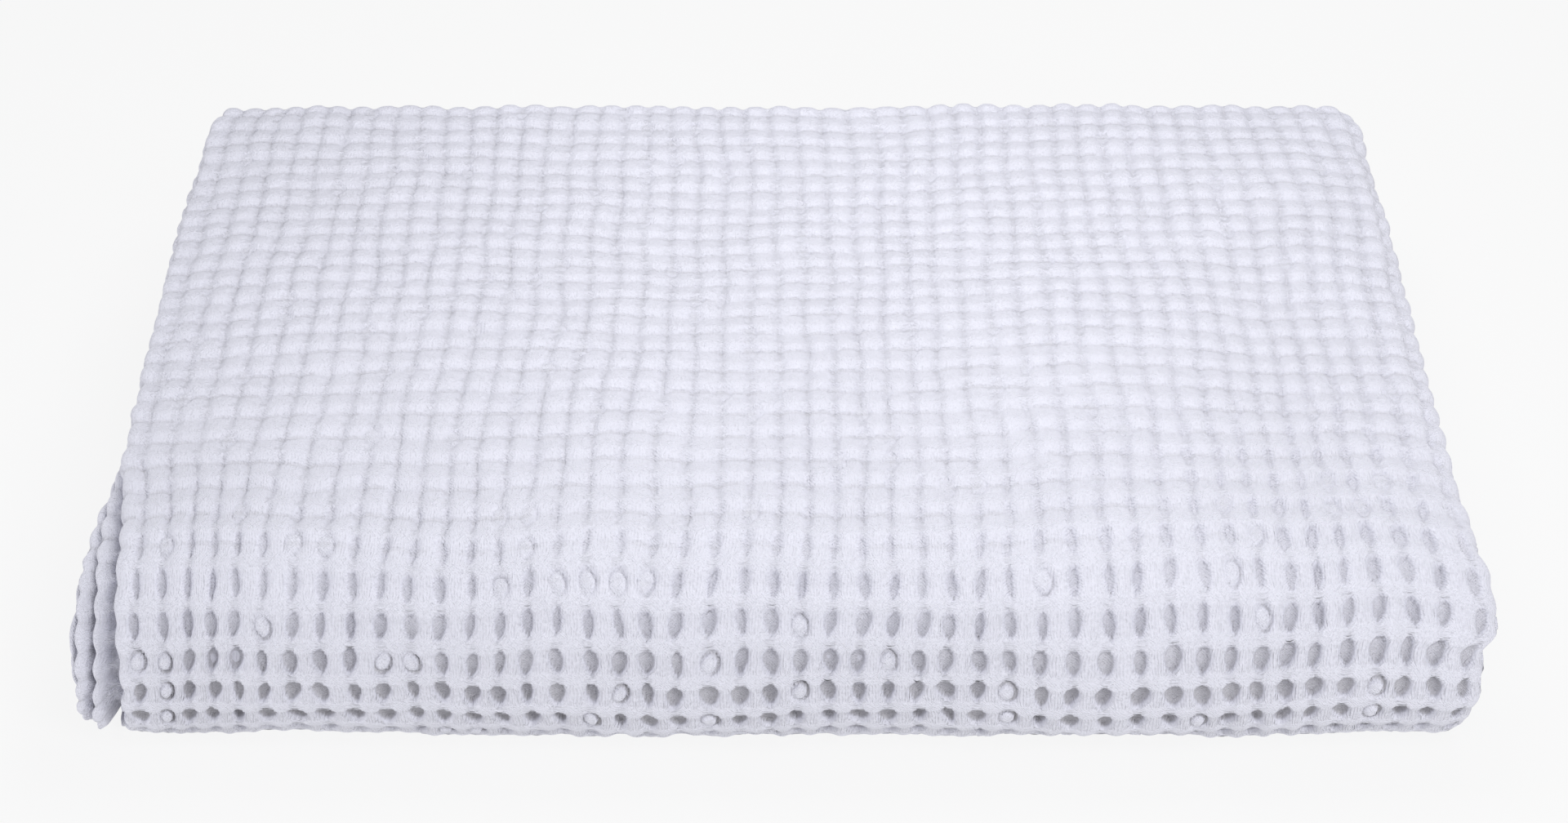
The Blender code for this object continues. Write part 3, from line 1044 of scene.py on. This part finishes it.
def cotton(name, threads, white):
    """White cotton with the thread group's weave, with painted shade that makes it greyer where the cloth
    is hollow, creased or grooved.
    """
    material = bpy.data.materials.new(name)
    material.use_nodes = True
    n = Nodes(material.node_tree)
    shader = material.node_tree.nodes["Principled BSDF"]
    group = n.add("ShaderNodeGroup")
    group.node_tree = threads
    for kept, socket in (("cell_x", "Column"), ("cell_y", "Row"), ("hollow", "Hollow"), ("slack", "Slack")):
        place = n.add("ShaderNodeAttribute", attribute_name=kept)
        n.link(place.outputs["Fac"], group.inputs[socket])
    # Painted shade: the thread group's shade mixes the white towards grey.
    colour = n.add("ShaderNodeMix", data_type="RGBA")
    n.link(group.outputs["Shade"], colour.inputs[0])
    colour.inputs[6].default_value = (*white, 1.0)
    colour.inputs[7].default_value = (*PAINTED_SHADE_GREY, 1.0)
    n.link(colour.outputs[2], shader.inputs["Base Color"])
    bump = n.add("ShaderNodeBump")
    bump.inputs["Distance"].default_value = THREAD_HEIGHT
    bump.inputs["Strength"].default_value = 1.0
    n.link(group.outputs["Height"], bump.inputs["Height"])
    n.link(bump.outputs[0], shader.inputs["Normal"])
    for socket, value in COTTON_FINISH.items():
        shader.inputs[socket].default_value = value
    return material


def plain_floor():
    """Pale floor that goes on behind the stack without a line."""
    mesh = bpy.data.meshes.new("floor")
    size = FLOOR_REACH
    corners = [(-size, -size, 0), (size, -size, 0), (size, size, 0), (-size, size, 0)]
    mesh.from_pydata(corners, [], [(0, 1, 2, 3)])
    floor = shown_piece("floor", mesh)
    material = bpy.data.materials.new("floor_paper")
    material.use_nodes = True
    shader = material.node_tree.nodes["Principled BSDF"]
    shader.inputs["Base Color"].default_value = FLOOR_GREY
    shader.inputs["Roughness"].default_value = 1.0
    shader.inputs["Specular IOR Level"].default_value = 0.0
    shader.inputs["Emission Color"].default_value = (1.0, 1.0, 1.0, 1.0)
    shader.inputs["Emission Strength"].default_value = FLOOR_GLOW
    mesh.materials.append(material)


def soft_light(name, location, aim, size, power):
    """Large soft box that looks at a point."""
    light = bpy.data.lights.new(name, "AREA")
    light.shape = "RECTANGLE"
    light.size, light.size_y = size
    light.energy = power
    lamp = bpy.data.objects.new(name, light)
    lamp.location = location
    direction = np.array(aim, float) - np.array(location, float)
    lamp.rotation_euler = Vector(direction).to_track_quat("-Z", "Y").to_euler()
    bpy.context.scene.collection.objects.link(lamp)


def studio():
    """Even white surroundings and five soft boxes, with the picture's tones left plain."""
    world = bpy.data.worlds.new("studio")
    world.use_nodes = True
    walls = world.node_tree.nodes["Background"]
    walls.inputs["Color"].default_value = WALL_WHITE
    walls.inputs["Strength"].default_value = WALL_LIGHT
    bpy.context.scene.world = world
    for box in SOFT_BOXES:
        soft_light(*box)
    bpy.context.scene.view_settings.view_transform = "Standard"


def camera():
    """View from in front and 30 degrees above, as in the photograph."""
    data = bpy.data.cameras.new("camera")
    data.sensor_width = SENSOR
    data.lens = LENS
    view = bpy.data.objects.new("camera", data)
    view.location = VIEW_PLACE
    view.rotation_euler = (radians(VIEW_TILT), 0.0, 0.0)
    bpy.context.scene.collection.objects.link(view)
    bpy.context.scene.camera = view


def woven_cloth(material):
    """All the woven pieces: the shown faces, the underside, the side folds and the hems."""
    part_table, row_of_part = row_table()
    low, high = np.floor(np.interp((SHOWN_FROM, SHOWN_TO), part_table, row_of_part))
    last = np.floor(row_of_part[-1] - LAST_ROW_MARGIN)
    quarter = (high - low) / len(SHOWN_FACE)
    cuts = [float(round(low + quarter * k)) for k in range(len(SHOWN_FACE) + 1)]
    shown = list(zip(SHOWN_FACE, cuts, cuts[1:]))
    pieces = woven_pieces(shown, outer_face(), CELL_STEPS, FACE_COLUMN, material)
    for side, face, column in (
        ("left", left_fold_face(), FACE_COLUMN),
        ("right", right_fold_face(), RIGHT_COLUMN),
    ):
        for layer, rows_from, rows_to in (("under", FIRST_ROW, low), ("inner", high, last)):
            rows = [(f"{side}_fold_{layer}", rows_from, rows_to)]
            pieces += woven_pieces(rows, face, EDGE_STEPS, column, material)
    rows = [("underside", FIRST_ROW, low + 1)]
    pieces += woven_pieces(rows, under_face(), UNDER_STEPS, FACE_COLUMN, material)
    for end, k in (("hem_a", 1), ("hem_b", 0)):
        rows, face = [(end, FIRST_ROW, last)], hem_face(end, k)
        pieces += woven_pieces(rows, face, HEM_STEPS, HEM_COLUMN, material, HEM_SLACK, hem_flatness)
    for k in range(PLIES):
        for layer, *where in CLOTH_ENDS:
            pieces.append(end_hem(f"end_hem_{layer}_{k + 1}", k, *where, material))
    return pieces


def main():
    threads = thread_group()
    outer = cotton("white_cotton", threads, COTTON_WHITE)
    # Painted shade: a greyer copy of the cotton for the hidden plies.
    inner = cotton("shaded_cotton", threads, SHADED_WHITE)
    plies = closed_sheet("bedspread_plies", [face + SHIFT for face in ply_faces(sunk=True)], inner)
    pieces = woven_cloth(outer)
    for piece in [plies] + pieces:
        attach(piece, "root")
    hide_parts("bedspread")
    plain_floor()
    studio()
    camera()


SHIFT = cad_shift(ply_faces(sunk=False))
main()
